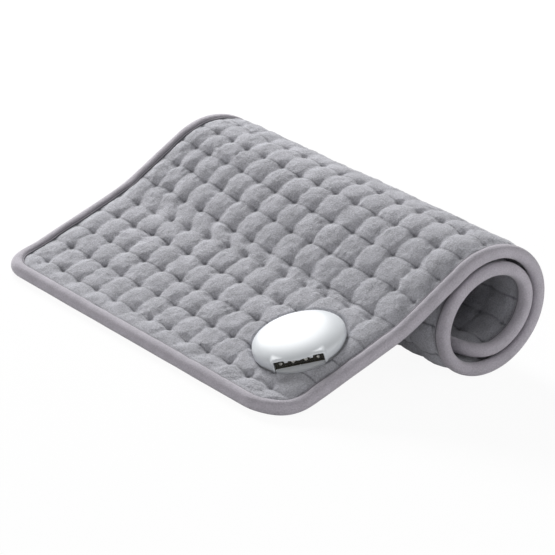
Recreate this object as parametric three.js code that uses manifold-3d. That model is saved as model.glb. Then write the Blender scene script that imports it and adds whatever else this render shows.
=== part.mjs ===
import * as THREE from 'three';
import { mergeVertices } from 'three/addons/utils/BufferGeometryUtils.js';
import Module from 'manifold-3d';

const wasm = await Module();
wasm.setup();

// A quilted electric heating pad, partly rolled up, with an oval dock for a plug-in
// controller. Millimetres, Z up. The pad is laid out flat first, by the distance along it
// from its free short edge, the distance across it and the distance out from its middle
// plane, and is then bent along its route.

// The pad laid flat
const padLength = 560;
const padWidth = 305;
const cornerRadius = 30;
const clearance = 0.3;
const overrun = 2;

// Layers, from the middle plane outwards
const carrierThickness = 0.5;
const wireDiameter = 2;
const stitchedThickness = 0.6;
const creaseRise = 1.2;
const puffRise = 2.6;
const standingFlat = 0.5;

// Binding folded over the edge
const bindingWidth = 9;
const bindingWall = 1;
const bindingNoseDepth = 2.6;
const bindingNoseShare = 0.4;
const bindingClearance = 0.6;
const crossingShare = 0.5;
const cornerSteps = 6;
const narrowStepShare = 0.25;
const wideStepShare = 1.5;

// Quilting
const rowPitch = 20.9;
const columnPitch = 20.2;
const firstRowInset = 24;
const firstColumnInset = 29;
const narrowStripPlace = 5;
const narrowStrip = 12.9;
const leastStripShare = 0.45;

// The route of the bent pad, seen from its long edge
const restAngle = THREE.MathUtils.degToRad(24.6);
const rampAngle = THREE.MathUtils.degToRad(36);
const footBendRadius = 67.5;
const shoulderBendRadius = 120;
const rollHalfLength = 47.5;
const rollHalfHeight = 43.7;
const rollTilt = THREE.MathUtils.degToRad(23.5);
const rollSideGap = 0.8;
const rollTopGap = 1.9;
const routeStep = 0.25;
const rollStepAngle = THREE.MathUtils.degToRad(0.25);
const rollTurns = 3;
const settlingPasses = 5;

// Heating wire and leads
const wireSides = 6;
const turnSteps = 6;
const firstRunInset = 20;
const runGapShare = 0.5;
const wireEndMargin = 38;
const wireBackInset = 16;
const wireFrontInset = 26;
const wireDockGap = 14;
const laneGap = 4.2;
const leadDiameter = 1.4;
const leadPitch = 3;
const leadBendRadius = 2;
const leadBendSteps = 3;
const returnLeadInset = 15.5;
const spliceDiameter = 2.4;
const spliceLength = 6;
const cutoutLength = 10;
const cutoutWidth = 4;
const cutoutThickness = 1.5;
const sensorLength = 6;
const sensorWidth = 5;
const sensorRun = 2;
const cutoutSwingShare = 0.6;
const cutoutRiseShare = 0.4;

// Dock outline and place
const dockHalfLength = 30.7;
const dockHalfDepth = 30.2;
const dockFrontInset = 49.6;
const dockTurn = THREE.MathUtils.degToRad(39);
const dockRestMargin = 0.9;
const dockRestOffset = 3.5;
const ovalExponent = 2.05;
const ovalSides = 32;

// Dock heights and walls
const backPlateThickness = 1.2;
const clampedThickness = 1.2;
const gasketThickness = 0.8;
const floorThickness = 1.8;
const dockRimHeight = 2;
const dockDomeHeight = 8;
const dockWall = 1.8;
const domeSteps = 7;
const domeFullness = 0.6;
const domeTopShare = 0.08;
const clampMargin = 2;
const throatMargin = 7;

// Socket mouth, pins and board
const mouthWidth = 32.4;
const mouthHeight = 7;
const mouthSetBack = 3;
const noseRoof = 1.2;
const noseChamfer = 1.2;
const cellCount = 4;
const toothWidth = 2.2;
const toothDrop = 1.5;
const toothDepth = 2;
const keyWidth = 0.8;
const keyHeight = 0.4;
const keyLength = 2.5;
const insertSetBack = 4.5;
const insertDepth = 8.5;
const pinDiameter = 2.4;
const pinSides = 12;
const pinRise = 2.6;
const pinRecess = 3;
const pinTail = 2;
const boardThickness = 1.2;
const boardPinMargin = 0.15;
const boardScrewGap = 0.5;
const leadPinGap = 1.3;
const leadBoardInset = 2.75;
const windowDepth = 10;

// Dock screws
const screwDiameter = 2.2;
const screwHeadDiameter = 4.2;
const screwLength = 9;
const screwSides = 10;
const bossWall = 1.35;
const screwInset = 5;
const backScrewSpread = 22;

// Levels that follow from the sizes above
const coreHalf = (carrierThickness + wireDiameter + 3 * clearance) / 2;
const carrierBottom = -coreHalf + clearance;
const wireLevel = carrierBottom + carrierThickness + clearance + wireDiameter / 2;
const leadLevel = coreHalf - clearance - leadDiameter / 2;
const stitchLevel = coreHalf + stitchedThickness;
const creaseLevel = stitchLevel + creaseRise;
const crestLevel = stitchLevel + puffRise;
const bindingHalf = crestLevel - standingFlat;
const lengthTightening = 2 * crestLevel + rollSideGap;
const heightTightening = 2 * crestLevel + rollTopGap;
const legInside = bindingHalf - bindingWall;
const marginLevel = legInside - bindingClearance;
const coverEdgeInset = bindingHalf + clearance;
const pocketDepth = coverEdgeInset - bindingClearance;
const pocketLevel = coreHalf + bindingClearance;
const backPlateTop = coreHalf - clearance;
const clampLevel = coreHalf + clampedThickness;
const dockUnderside = clampLevel + clearance;
const floorTop = dockUnderside + floorThickness;
const skirtBottom = dockUnderside + gasketThickness + clearance;
const domeFoot = dockUnderside + dockRimHeight;
const mouthTop = floorTop + mouthHeight;
const pinLevel = floorTop + pinRise;
const boardBottom = pinLevel + pinDiameter / 2 + clearance;
const mouthHalf = mouthWidth / 2;
const mouthFace = mouthSetBack - dockHalfDepth;
const bossDiameter = screwDiameter + 2 * clearance + 2 * bossWall;
const insertBack = mouthFace + insertSetBack + insertDepth;
const noseBack = insertBack + clearance + dockWall;
const noseHalf = mouthHalf + dockWall;
const leadRiseDepth = insertBack + pinTail + leadPinGap + leadDiameter / 2;
const boardBack = leadRiseDepth + leadBoardInset;
const sideScrew = {
  x: dockHalfLength - throatMargin - screwInset,
  y: boardBack + boardScrewGap + bossDiameter / 2,
};
const backScrew = {
  x: backScrewSpread / 2,
  y: dockHalfDepth - throatMargin - screwInset,
};
const screwPlaces = [sideScrew, backScrew].flatMap(({ x, y }) => [{ x, y }, { x: -x, y }]);

// Closed solids from rings of points

function outward(geometry) {
  const place = geometry.attributes.position;
  const index = geometry.index;
  const a = new THREE.Vector3();
  const b = new THREE.Vector3();
  const c = new THREE.Vector3();
  let volume = 0;
  for (let i = 0; i < index.count; i += 3) {
    a.fromBufferAttribute(place, index.getX(i));
    b.fromBufferAttribute(place, index.getX(i + 1));
    c.fromBufferAttribute(place, index.getX(i + 2));
    volume += a.dot(b.cross(c));
  }
  if (volume < 0) {
    for (let i = 0; i < index.count; i += 3) {
      const first = index.getX(i);
      index.setX(i, index.getX(i + 1));
      index.setX(i + 1, first);
    }
  }
  return geometry;
}

function indexedGeometry(points, faces) {
  const geometry = new THREE.BufferGeometry().setFromPoints(points);
  geometry.setIndex(faces.flat());
  return outward(geometry);
}

function skin(rings, looped = false) {
  const sides = rings[0].length;
  const faces = [];
  const spans = looped ? rings.length : rings.length - 1;
  for (let ring = 0; ring < spans; ring += 1) {
    const near = ring * sides;
    const far = ((ring + 1) % rings.length) * sides;
    for (let side = 0; side < sides; side += 1) {
      const next = (side + 1) % sides;
      faces.push([near + side, near + next, far + next]);
      faces.push([near + side, far + next, far + side]);
    }
  }
  if (!looped) {
    const last = (rings.length - 1) * sides;
    for (let side = 1; side < sides - 1; side += 1) {
      faces.push([0, side + 1, side]);
      faces.push([last, last + side, last + side + 1]);
    }
  }
  return indexedGeometry(rings.flat(), faces);
}

function bare(geometry) {
  const plain = geometry.clone();
  plain.deleteAttribute('normal');
  plain.deleteAttribute('uv');
  return mergeVertices(plain);
}

function solid(geometry) {
  const merged = bare(geometry);
  return new wasm.Manifold(new wasm.Mesh({
    numProp: 3,
    vertProperties: new Float32Array(merged.attributes.position.array),
    triVerts: new Uint32Array(merged.index.array),
  }));
}

function geometryOf(body) {
  const mesh = body.getMesh();
  const geometry = new THREE.BufferGeometry();
  geometry.setAttribute('position', new THREE.BufferAttribute(mesh.vertProperties, mesh.numProp));
  geometry.setIndex(new THREE.BufferAttribute(mesh.triVerts, 1));
  geometry.computeVertexNormals();
  return geometry;
}

function block(xMin, xMax, yMin, yMax, zMin, zMax) {
  const geometry = new THREE.BoxGeometry(xMax - xMin, yMax - yMin, zMax - zMin);
  return geometry.translate((xMin + xMax) / 2, (yMin + yMax) / 2, (zMin + zMax) / 2);
}

function prism(outline, bottom, top) {
  const shape = new THREE.Shape(outline);
  const geometry = new THREE.ExtrudeGeometry(shape, { depth: top - bottom, bevelEnabled: false });
  return geometry.translate(0, 0, bottom);
}

function post(x, y, bottomDiameter, topDiameter, bottom, top, sides) {
  const geometry = new THREE.CylinderGeometry(topDiameter / 2, bottomDiameter / 2, top - bottom, sides);
  return geometry.rotateX(Math.PI / 2).translate(x, y, (bottom + top) / 2);
}

// The route: flat foot, a straight rest for the dock, a ramp, then an oval spiral

const turnedReach = (halfA, halfB) => Math.hypot(halfA * Math.cos(dockTurn), halfB * Math.sin(dockTurn));
const dockReachAlong = turnedReach(dockHalfLength, dockHalfDepth);
const dockReachAcross = turnedReach(dockHalfDepth, dockHalfLength);
const restLength = 2 * (dockReachAlong + dockRestMargin);
const restStart = bindingWidth + footBendRadius * restAngle;
const dockAlong = restStart + restLength / 2 - dockRestOffset;
const dockAcross = dockFrontInset - padWidth / 2;

function rollPoint(angle, turned) {
  const halfLength = rollHalfLength - lengthTightening * turned;
  const halfHeight = rollHalfHeight - heightTightening * turned;
  const flat = new THREE.Vector2(halfLength * Math.cos(angle), halfHeight * Math.sin(angle));
  return flat.rotateAround(new THREE.Vector2(), rollTilt);
}

function rollOutline() {
  const points = [];
  let angle = Math.PI;
  let started = false;
  let startAngle = angle;
  while (!started || startAngle - angle < rollTurns * 2 * Math.PI) {
    const turned = started ? (startAngle - angle) / (2 * Math.PI) : 0;
    const here = rollPoint(angle, turned);
    const ahead = rollPoint(angle - rollStepAngle, turned);
    const heading = Math.atan2(ahead.y - here.y, ahead.x - here.x);
    if (!started && heading <= rampAngle && heading > 0) {
      started = true;
      startAngle = angle;
    }
    if (started) {
      points.push(here);
    }
    angle -= rollStepAngle;
  }
  return points;
}

function layRoute(sink) {
  const samples = [{ x: 0, z: bindingHalf, heading: 0, along: 0 }];
  const run = (length, turn) => {
    const steps = Math.ceil(length / routeStep);
    for (let step = 0; step < steps; step += 1) {
      const from = samples[samples.length - 1];
      const middle = from.heading + turn / steps / 2;
      samples.push({
        x: from.x + Math.cos(middle) * length / steps,
        z: from.z + Math.sin(middle) * length / steps,
        heading: from.heading + turn / steps,
        along: from.along + length / steps,
      });
    }
  };
  const roll = rollOutline();
  const rollDrop = roll[0].y - Math.min(...roll.map((point) => point.y));
  run(bindingWidth, 0);
  run(footBendRadius * restAngle, restAngle);
  run(restLength, 0);
  run(shoulderBendRadius * (rampAngle - restAngle), rampAngle - restAngle);
  const climbed = samples[samples.length - 1].z - bindingHalf;
  run((rollDrop - climbed - sink) / Math.sin(rampAngle), 0);
  const start = samples[samples.length - 1];
  for (let i = 1; i < roll.length; i += 1) {
    const last = samples[samples.length - 1];
    const step = roll[i].clone().sub(roll[i - 1]);
    const raw = Math.atan2(step.y, step.x);
    const winding = Math.round((last.heading - raw) / (2 * Math.PI));
    samples.push({
      x: start.x + roll[i].x - roll[0].x,
      z: start.z + roll[i].y - roll[0].y,
      heading: raw + winding * 2 * Math.PI,
      along: last.along + step.length(),
    });
  }
  return samples;
}

let route = layRoute(0);

function frameAt(along) {
  const next = Math.max(1, route.findIndex((sample) => sample.along >= along));
  const before = route[next - 1];
  const after = route[next];
  const share = (along - before.along) / (after.along - before.along);
  return {
    along,
    x: THREE.MathUtils.lerp(before.x, after.x, share),
    z: THREE.MathUtils.lerp(before.z, after.z, share),
    heading: THREE.MathUtils.lerp(before.heading, after.heading, share),
  };
}

// Stitch rows and columns, and the lines across the pad where it is bent

function stitchRows() {
  const last = padLength - bindingWidth - leastStripShare * rowPitch;
  const rows = [];
  for (let along = firstRowInset; along <= last; along += rowPitch) {
    if (rows.length === narrowStripPlace) {
      along -= rowPitch - narrowStrip;
    }
    rows.push(along);
  }
  return rows;
}

function stitchColumns() {
  const last = bindingWidth + leastStripShare * columnPitch - padWidth / 2;
  const columns = [];
  for (let across = padWidth / 2 - firstColumnInset; across >= last; across -= columnPitch) {
    columns.unshift(across);
  }
  return columns;
}

const rows = stitchRows();
const columns = stitchColumns();

function bendLines() {
  const seams = [bindingWidth, ...rows, padLength - bindingWidth];
  const lines = [{ along: coverEdgeInset, kind: 'edge' }, { along: bindingWidth, kind: 'seam' }];
  for (let i = 0; i < seams.length - 1; i += 1) {
    if (i > 0) {
      lines.push({ along: seams[i], kind: 'row' });
    }
    lines.push({ along: (seams[i] + seams[i + 1]) / 2, kind: 'crest' });
  }
  lines.push({ along: padLength - bindingWidth, kind: 'seam' });
  lines.push({ along: padLength - coverEdgeInset, kind: 'edge' });
  return lines;
}

const lines = bendLines();
let bends = [];

// The roll stands on the floor on the corners of its bent strips
let sunk = 0;
for (let pass = 0; pass < settlingPasses; pass += 1) {
  bends = [0, ...lines.map((line) => line.along), padLength].map(frameAt);
  const turned = bends.filter(({ heading }) => heading < 0);
  const feet = turned.map(({ z, heading }) => z - bindingHalf * Math.abs(Math.cos(heading)));
  sunk += Math.min(...feet);
  route = layRoute(sunk);
}
bends = [0, ...lines.map((line) => line.along), padLength].map(frameAt);

function bentPoint({ x: along, y: across, z: out }) {
  let i = 0;
  while (i < bends.length - 2 && bends[i + 1].along <= along) {
    i += 1;
  }
  const near = bends[i];
  const far = bends[i + 1];
  const share = (along - near.along) / (far.along - near.along);
  const nearX = near.x - out * Math.sin(near.heading);
  const nearZ = near.z + out * Math.cos(near.heading);
  const farX = far.x - out * Math.sin(far.heading);
  const farZ = far.z + out * Math.cos(far.heading);
  return new THREE.Vector3(
    nearX + (farX - nearX) * share,
    across,
    nearZ + (farZ - nearZ) * share,
  );
}

function bent(geometry) {
  const place = geometry.attributes.position;
  const point = new THREE.Vector3();
  for (let i = 0; i < place.count; i += 1) {
    point.fromBufferAttribute(place, i);
    place.setXYZ(i, ...bentPoint(point));
  }
  return geometry;
}

function halfWidthAt(along, inset) {
  const fromEnd = Math.min(along, padLength - along);
  const intoCorner = Math.max(cornerRadius - fromEnd, 0);
  const reach = Math.max((cornerRadius - inset) ** 2 - intoCorner ** 2, 0);
  return padWidth / 2 - cornerRadius + Math.sqrt(reach);
}

// Quilted covers: puffs between stitch crossings, drawn thin towards the edge

function acrossLevels({ along, kind }) {
  const edge = halfWidthAt(along, coverEdgeInset);
  const seam = halfWidthAt(along, bindingWidth);
  const inner = [];
  if (kind === 'seam') {
    columns.filter((across) => Math.abs(across) < seam - clearance).forEach((across) => {
      inner.push([across, marginLevel]);
    });
  }
  if (kind === 'row') {
    columns.forEach((across) => inner.push([across, stitchLevel]));
  }
  if (kind === 'crest') {
    const marks = [-seam, ...columns, seam];
    for (let i = 0; i < marks.length - 1; i += 1) {
      if (i > 0) {
        inner.push([marks[i], creaseLevel]);
      }
      inner.push([(marks[i] + marks[i + 1]) / 2, crestLevel]);
    }
  }
  if (kind !== 'edge') {
    inner.unshift([-seam, marginLevel]);
    inner.push([seam, marginLevel]);
  }
  return [[-edge, coreHalf], ...inner, [edge, coreHalf]];
}

function bridge(points, near, far) {
  const faces = [];
  let a = 0;
  let b = 0;
  while (a < near.length - 1 || b < far.length - 1) {
    const nextA = a < near.length - 1 ? points[near[a + 1]].y : Infinity;
    const nextB = b < far.length - 1 ? points[far[b + 1]].y : Infinity;
    const level = Math.abs(nextA - nextB) < clearance;
    const lagging = points[near[a]].y < points[far[b]].y;
    if (level ? lagging : nextA < nextB) {
      faces.push([near[a], far[b], near[a + 1]]);
      a += 1;
    } else {
      faces.push([near[a], far[b], far[b + 1]]);
      b += 1;
    }
  }
  return faces;
}

function quiltedCover(side) {
  const points = [];
  const faces = [];
  const strands = lines.map((line) => acrossLevels(line).map(([across, level]) => {
    points.push(new THREE.Vector3(line.along, across, side * level));
    return points.length - 1;
  }));
  for (let i = 0; i < strands.length - 1; i += 1) {
    const near = strands[i];
    const far = strands[i + 1];
    const nearEnds = [near[0], near[near.length - 1]];
    const farEnds = [far[0], far[far.length - 1]];
    faces.push(...bridge(points, near, far));
    faces.push([nearEnds[0], nearEnds[1], farEnds[1]]);
    faces.push([nearEnds[0], farEnds[1], farEnds[0]]);
  }
  return bent(indexedGeometry(points, faces));
}

// Edge binding: one strip folded round the edge, over both covers

function bindingSection(grown) {
  const proud = grown > 0 ? overrun : 0;
  const upper = [
    [bindingWidth + grown, legInside - grown],
    [bindingWidth + grown, bindingHalf + proud],
    [bindingNoseDepth - proud, bindingHalf + proud],
    [-proud, bindingHalf * bindingNoseShare],
  ];
  const pocket = [pocketDepth + grown, pocketLevel - grown];
  const lower = upper.map(([depth, level]) => [depth, -level]).reverse();
  return [...upper, ...lower, [pocket[0], -pocket[1]], pocket];
}

function cornerAngles(alongCentre, firstAngle) {
  const turn = Math.PI / 2;
  const seamRadius = cornerRadius - bindingWidth * crossingShare;
  const angles = [firstAngle];
  const crossings = lines.map((line) => (line.along - alongCentre) / seamRadius);
  crossings.filter((share) => Math.abs(share) < 1).forEach((share) => {
    const angle = Math.acos(share);
    angles.push(...[angle, -angle, 2 * Math.PI - angle].filter((candidate) => (
      candidate > firstAngle && candidate < firstAngle + turn
    )));
  });
  angles.push(firstAngle + turn);
  angles.sort((a, b) => a - b);
  const widest = turn / cornerSteps;
  return angles.flatMap((angle, i) => {
    const step = i > 0 ? angle - angles[i - 1] : 0;
    if (i > 0 && i < angles.length - 1 && step < widest * narrowStepShare) {
      return [];
    }
    return step > widest * wideStepShare ? [angle - step / 2, angle] : [angle];
  });
}

function edgeBinding(grown = 0) {
  const section = bindingSection(grown);
  const rings = [];
  const addRing = (along, across, inAlong, inAcross) => {
    rings.push(section.map(([depth, level]) => (
      new THREE.Vector3(along + inAlong * depth, across + inAcross * depth, level)
    )));
  };
  const half = padWidth / 2;
  const straight = lines.map((line) => line.along).filter((along) => (
    along > cornerRadius + clearance && along < padLength - cornerRadius - clearance
  ));
  const addCorner = (alongCentre, acrossCentre, firstAngle) => {
    cornerAngles(alongCentre, firstAngle).forEach((angle) => {
      const u = Math.cos(angle);
      const v = Math.sin(angle);
      addRing(alongCentre + cornerRadius * u, acrossCentre + cornerRadius * v, -u, -v);
    });
  };
  straight.forEach((along) => addRing(along, -half, 0, 1));
  addCorner(padLength - cornerRadius, cornerRadius - half, -Math.PI / 2);
  addCorner(padLength - cornerRadius, half - cornerRadius, 0);
  [...straight].reverse().forEach((along) => addRing(along, half, 0, -1));
  addCorner(cornerRadius, half - cornerRadius, Math.PI / 2);
  addCorner(cornerRadius, cornerRadius - half, Math.PI);
  return bent(skin(rings, true));
}

function carrierSheet() {
  const top = carrierBottom + carrierThickness;
  return bent(skin(lines.map(({ along }) => {
    const half = halfWidthAt(along, coverEdgeInset);
    return [
      new THREE.Vector3(along, -half, carrierBottom),
      new THREE.Vector3(along, half, carrierBottom),
      new THREE.Vector3(along, half, top),
      new THREE.Vector3(along, -half, top),
    ];
  })));
}

// Wires: a ring of sides at every point of the path, square to it

function tube(points, diameter) {
  const rings = [];
  const up = new THREE.Vector3(0, 0, 1);
  const directions = points.slice(1).map((point, i) => point.clone().sub(points[i]).normalize());
  if (Math.abs(directions[0].z) > Math.SQRT1_2) {
    up.set(0, 1, 0);
  }
  points.forEach((point, i) => {
    const into = directions[Math.max(i - 1, 0)];
    const out = directions[Math.min(i, directions.length - 1)];
    const along = into.clone().add(out).normalize();
    up.addScaledVector(along, -up.dot(along)).normalize();
    const side = new THREE.Vector3().crossVectors(along, up);
    const bendAxis = out.clone().sub(into);
    const stretch = 1 / Math.max(along.dot(out), Math.SQRT1_2);
    const ring = [];
    for (let k = 0; k < wireSides; k += 1) {
      const angle = (k + 0.5) / wireSides * 2 * Math.PI;
      const spoke = up.clone().multiplyScalar(Math.cos(angle));
      spoke.addScaledVector(side, Math.sin(angle)).multiplyScalar(diameter / 2);
      if (bendAxis.lengthSq() > 0) {
        const axis = bendAxis.clone().normalize();
        spoke.addScaledVector(axis, spoke.dot(axis) * (stretch - 1));
      }
      ring.push(spoke.add(point));
    }
    rings.push(ring);
  });
  return skin(rings);
}

function crossingBends(points) {
  return points.flatMap((point, i) => {
    if (i === 0) {
      return [point];
    }
    const from = points[i - 1];
    const shares = lines.map(({ along }) => (along - from.x) / (point.x - from.x));
    const inside = shares.filter((share) => share > 0 && share < 1).sort((a, b) => a - b);
    return [...inside.map((share) => from.clone().lerp(point, share)), point];
  });
}

function bentLead(points) {
  return bent(tube(crossingBends(points), leadDiameter));
}

const runPitch = rowPitch;
const runCount = 2 * Math.floor((padLength - wireEndMargin - firstRunInset) / (2 * runPitch) + runGapShare);
const turnRadius = runPitch / 2;
const wireStartAcross = dockAcross + dockReachAcross + 2 * wireDockGap;
const wireEndAcross = wireFrontInset + turnRadius / 2 - padWidth / 2;

function besideDock(along) {
  return along < dockAlong + dockReachAlong && along + runPitch > dockAlong - dockReachAlong;
}

function frontTurnAcross(along) {
  const clearOfDock = dockAcross + dockReachAcross + wireDockGap;
  return turnRadius + (besideDock(along) ? clearOfDock : wireFrontInset - padWidth / 2);
}

function heatingWire() {
  const points = [new THREE.Vector3(firstRunInset, wireStartAcross, wireLevel)];
  for (let run = 0; run < runCount - 1; run += 1) {
    const along = firstRunInset + run * runPitch;
    const atBack = run % 2 === 0;
    const across = atBack ? padWidth / 2 - wireBackInset - turnRadius : frontTurnAcross(along);
    for (let step = 0; step <= turnSteps; step += 1) {
      const angle = step / turnSteps * Math.PI;
      points.push(new THREE.Vector3(
        along + turnRadius * (1 - Math.cos(angle)),
        across + (atBack ? 1 : -1) * turnRadius * Math.sin(angle),
        wireLevel,
      ));
    }
  }
  points.push(new THREE.Vector3(firstRunInset + (runCount - 1) * runPitch, wireEndAcross, wireLevel));
  return bent(tube(points, wireDiameter));
}

function dockToPad(x, y, level) {
  const along = dockAlong + x * Math.cos(dockTurn) + y * Math.sin(dockTurn);
  const across = dockAcross - x * Math.sin(dockTurn) + y * Math.cos(dockTurn);
  return new THREE.Vector3(along, across, level);
}

const leadExitDepth = dockHalfDepth + laneGap;
const laneAcross = (place) => dockAcross + dockReachAcross + laneGap + place * leadPitch;

function leadInDock(place) {
  const x = (place - (cellCount - 1) / 2) * leadPitch;
  const points = [dockToPad(x, leadRiseDepth, boardBottom - clearance)];
  for (let step = 0; step <= leadBendSteps; step += 1) {
    const angle = step / leadBendSteps * Math.PI / 2;
    points.push(dockToPad(
      x,
      leadRiseDepth + leadBendRadius * (1 - Math.cos(angle)),
      leadLevel + leadBendRadius * (1 - Math.sin(angle)),
    ));
  }
  points.push(dockToPad(x, leadExitDepth, leadLevel));
  return points;
}

const onPad = (along, across) => new THREE.Vector3(along, across, leadLevel);
const cutoutAcross = laneAcross(0);
const cutoutAlong = dockAlong - dockReachAlong - cutoutLength / 2;
const spliceStartAcross = wireStartAcross - clearance - spliceLength;

function heaterLead() {
  const end = cutoutAlong + cutoutLength / 2 + clearance;
  const points = leadInDock(0);
  points.push(onPad(points[points.length - 1].x - leadPitch, cutoutAcross));
  points.push(onPad(end, cutoutAcross));
  return bentLead(points);
}

function cutoutLead() {
  const start = cutoutAlong - cutoutLength / 2 - clearance;
  const end = spliceStartAcross - clearance;
  const points = [onPad(start, cutoutAcross)];
  points.push(onPad(THREE.MathUtils.lerp(start, firstRunInset, cutoutSwingShare), cutoutAcross));
  points.push(onPad(firstRunInset, THREE.MathUtils.lerp(cutoutAcross, end, cutoutRiseShare)));
  points.push(onPad(firstRunInset, end));
  return bentLead(points);
}

const sensorAlong = firstRunInset + (sensorRun + runGapShare) * runPitch;
const sensorAcross = frontTurnAcross(sensorAlong) + turnRadius;

function sensorLead(place, sideways) {
  const along = sensorAlong + sideways * leadPitch / 2;
  const points = leadInDock(place);
  points.push(onPad(points[points.length - 1].x, laneAcross(place)));
  points.push(onPad(along + leadPitch, laneAcross(place)));
  points.push(onPad(along, laneAcross(place) + leadPitch));
  points.push(onPad(along, sensorAcross - sensorLength / 2 - clearance));
  return bentLead(points);
}

const spliceEndAlong = firstRunInset + (runCount - 1) * runPitch;
const spliceEndAcross = wireEndAcross - clearance - spliceLength;

function lastRunBesideDock() {
  let last = 0;
  for (let run = 1; run < runCount - 2; run += 2) {
    last = besideDock(firstRunInset + run * runPitch) ? run + 1 : last;
  }
  return last;
}

function returnLead() {
  const across = returnLeadInset - padWidth / 2;
  const aside = firstRunInset + (lastRunBesideDock() + runGapShare) * runPitch;
  const points = leadInDock(cellCount - 1);
  points.push(onPad(aside - turnRadius / 2, points[points.length - 1].y - turnRadius / 2));
  points.push(onPad(aside, dockAcross));
  points.push(onPad(aside, across + turnRadius));
  points.push(onPad(aside + turnRadius / 2, across));
  points.push(onPad(spliceEndAlong - turnRadius / 2, across));
  points.push(onPad(spliceEndAlong, spliceEndAcross - leadDiameter));
  return bentLead(points);
}

function splice(along, across) {
  const ends = [across, across + spliceLength].map((y) => new THREE.Vector3(along, y, wireLevel));
  return bent(tube(ends, spliceDiameter));
}

function thermalCutout() {
  const shape = new THREE.Shape();
  const straight = (cutoutLength - cutoutWidth) / 2;
  shape.absarc(straight, 0, cutoutWidth / 2, -Math.PI / 2, Math.PI / 2, false);
  shape.absarc(-straight, 0, cutoutWidth / 2, Math.PI / 2, 3 * Math.PI / 2, false);
  const settings = { depth: cutoutThickness, bevelEnabled: false, curveSegments: wireSides };
  const geometry = new THREE.ExtrudeGeometry(shape, settings);
  geometry.translate(cutoutAlong, cutoutAcross, wireLevel - cutoutThickness / 2);
  return bent(outward(bare(geometry)));
}

function temperatureSensor() {
  const geometry = new THREE.BoxGeometry(sensorWidth, sensorLength, cutoutThickness);
  geometry.translate(sensorAlong, sensorAcross, wireLevel);
  return bent(outward(bare(geometry)));
}

// Dock pieces, in the dock's own frame: x along the mouth, y away from it, z out of the pad

function oval(halfLength, halfDepth, sides = ovalSides) {
  const power = 2 / ovalExponent;
  const points = [];
  for (let side = 0; side < sides; side += 1) {
    const angle = (side + 0.5) / sides * 2 * Math.PI;
    const x = Math.sign(Math.cos(angle)) * Math.abs(Math.cos(angle)) ** power;
    const y = Math.sign(Math.sin(angle)) * Math.abs(Math.sin(angle)) ** power;
    points.push(new THREE.Vector2(halfLength * x, halfDepth * y));
  }
  return points;
}

function insetOval(inset, sides) {
  return oval(dockHalfLength - inset, dockHalfDepth - inset, sides);
}

function dome(inset, bottom, drop) {
  const outline = insetOval(inset);
  const rings = [outline.map((point) => new THREE.Vector3(point.x, point.y, bottom))];
  for (let step = 0; step < domeSteps; step += 1) {
    const angle = step / domeSteps * Math.PI / 2;
    const scale = Math.max(Math.cos(angle) ** domeFullness, domeTopShare);
    const level = domeFoot + (dockDomeHeight - drop) * Math.sin(angle);
    rings.push(outline.map((point) => new THREE.Vector3(point.x * scale, point.y * scale, level)));
  }
  const top = domeFoot + dockDomeHeight - drop;
  rings.push(outline.map((point) => (
    new THREE.Vector3(point.x * domeTopShare, point.y * domeTopShare, top)
  )));
  return solid(skin(rings));
}

const crown = domeFoot + dockDomeHeight;

function nose() {
  const top = mouthTop + noseRoof;
  const length = noseBack - mouthFace;
  const sideShape = new THREE.Shape([
    new THREE.Vector2(mouthFace, skirtBottom),
    new THREE.Vector2(noseBack, skirtBottom),
    new THREE.Vector2(noseBack, top),
    new THREE.Vector2(mouthFace + noseChamfer, top),
    new THREE.Vector2(mouthFace, top - noseChamfer),
  ]);
  const frontShape = new THREE.Shape([
    new THREE.Vector2(-noseHalf, skirtBottom - overrun),
    new THREE.Vector2(noseHalf, skirtBottom - overrun),
    new THREE.Vector2(noseHalf, top - noseChamfer),
    new THREE.Vector2(noseHalf - noseChamfer, top),
    new THREE.Vector2(noseChamfer - noseHalf, top),
    new THREE.Vector2(-noseHalf, top - noseChamfer),
  ]);
  const across = new THREE.ExtrudeGeometry(sideShape, { depth: 2 * noseHalf, bevelEnabled: false });
  across.rotateX(Math.PI / 2).rotateZ(Math.PI / 2).translate(-noseHalf, 0, 0);
  const inward = new THREE.ExtrudeGeometry(frontShape, {
    depth: length + 2 * overrun,
    bevelEnabled: false,
  });
  inward.rotateX(Math.PI / 2).translate(0, noseBack + overrun, 0);
  return solid(across).intersect(solid(inward));
}

function dockCover() {
  const outer = dome(0, skirtBottom, 0);
  const hollow = dome(dockWall, skirtBottom - overrun, dockWall);
  const tunnel = block(-mouthHalf, mouthHalf, -dockHalfDepth - overrun, insertBack + clearance,
    skirtBottom - overrun, mouthTop);
  let body = outer.add(nose()).subtract(hollow).subtract(solid(tunnel));
  const cell = mouthWidth / cellCount;
  for (let tooth = 1; tooth < cellCount; tooth += 1) {
    const x = tooth * cell - mouthHalf;
    body = body.add(solid(block(
      x - toothWidth / 2, x + toothWidth / 2,
      mouthFace, mouthFace + toothDepth,
      mouthTop - toothDrop, mouthTop + dockWall / 2,
    )));
  }
  for (const { x, y } of screwPlaces) {
    const boss = solid(post(x, y, bossDiameter, bossDiameter, floorTop + clearance, crown, screwSides));
    body = body.add(boss.intersect(outer));
  }
  const bore = screwDiameter + 2 * clearance;
  const boreTop = screwHeadBottom + screwLength + clearance;
  for (const { x, y } of screwPlaces) {
    body = body.subtract(solid(post(x, y, bore, bore, floorTop - overrun, boreTop, screwSides)));
  }
  return geometryOf(body);
}

const screwHeadBottom = backPlateTop - backPlateThickness;
const throatOutline = insetOval(throatMargin + clearance);
const windowHalf = cellCount * leadPitch / 2 + clearance;

function drilled(body, places, diameter, bottom, top) {
  let result = body;
  for (const { x, y } of places) {
    result = result.subtract(solid(post(x, y, diameter, diameter, bottom, top, screwSides)));
  }
  return result;
}

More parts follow.
